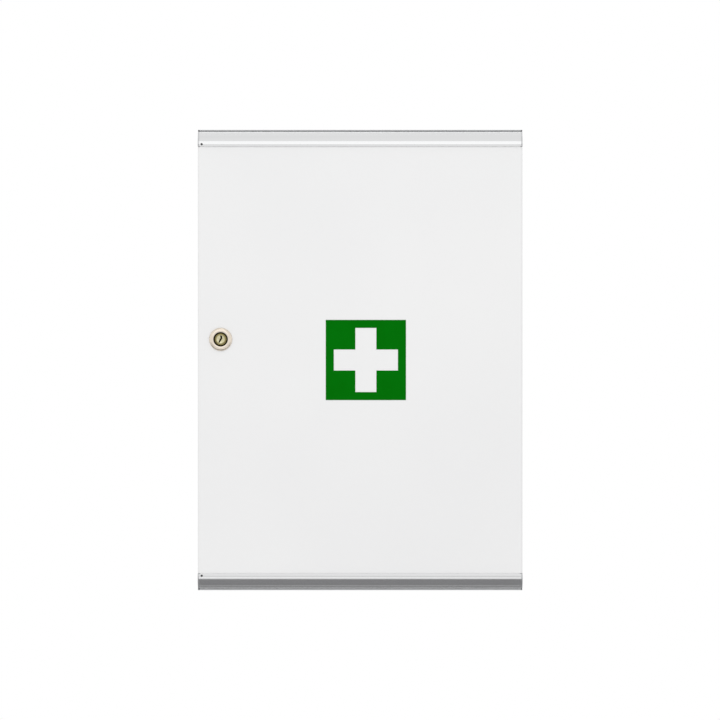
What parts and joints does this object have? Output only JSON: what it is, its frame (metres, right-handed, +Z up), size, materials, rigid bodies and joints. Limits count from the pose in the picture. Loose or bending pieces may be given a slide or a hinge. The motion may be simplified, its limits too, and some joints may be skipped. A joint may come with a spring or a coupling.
{
  "type": "lockable medicine cabinet",
  "caption": "Wall-hung white sheet-steel medicine cabinet with a hinged door between two aluminium rails, a cam lock, shelves on clips and a green first-aid square.",
  "frame": {"origin": "centre of the four wall holes, in the wall plane", "axes": "+X to the right along the front, +Y into the wall, +Z up"},
  "size_m": [0.324, 0.141, 0.46],
  "materials": {
    "powder_coat": "smooth white powder coat, semi-gloss",
    "anodised": "extruded, natural anodised",
    "rail_cap": "moulded grey plastic",
    "zinc": "bright zinc plated",
    "lock_nickel": "polished, warm nickel plate",
    "lock_brass": "turned brass",
    "sign_vinyl": "printed vinyl, satin",
    "buffer_rubber": "translucent pale grey"
  },
  "bodies": {
    "cabinet": {"back_panel": "powder_coat", "left_side": "powder_coat", "right_side": "powder_coat", "top_panel": "powder_coat", "bottom_panel": "powder_coat", "shelf_rail_front_left": "powder_coat", "shelf_rail_rear_left": "powder_coat", "shelf_rail_front_right": "powder_coat", "shelf_rail_rear_right": "powder_coat", "upper_shelf": "powder_coat", "lower_shelf": "powder_coat", "upper_shelf_clips": "zinc", "lower_shelf_clips": "zinc", "hinge_bracket_upper": "zinc", "hinge_bracket_lower": "zinc", "hinge_pin_upper": "zinc", "hinge_pin_lower": "zinc", "strike_plate": "zinc", "door_buffers": "buffer_rubber"},
    "door": {"door_panel": "powder_coat", "door_stiffener": "powder_coat", "hinge_leaf_upper": "zinc", "hinge_leaf_lower": "zinc", "top_rail": "anodised", "bottom_rail": "anodised", "top_rail_cap_left": "rail_cap", "top_rail_cap_right": "rail_cap", "bottom_rail_cap_left": "rail_cap", "bottom_rail_cap_right": "rail_cap", "rail_cap_screws": "zinc", "rail_pins": "zinc", "first_aid_sign": "sign_vinyl", "lock_barrel": "lock_nickel", "lock_washer": "zinc", "lock_nut": "lock_brass"},
    "lock_core": {"lock_plug": "lock_brass", "lock_cam": "zinc", "cam_screw": "zinc"}
  },
  "joints": [
    {"name": "door_hinge", "type": "hinge", "parent": "cabinet", "child": "door", "pos_m": [0.156, -0.13, 0], "axis": [0, 0, 1], "range_deg": [0, 105]},
    {"name": "lock_turn", "type": "hinge", "parent": "door", "child": "lock_core", "pos_m": [-0.1391, -0.13, 0.0206], "axis": [0, 1, 0], "range_deg": [0, 90]}
  ]
}
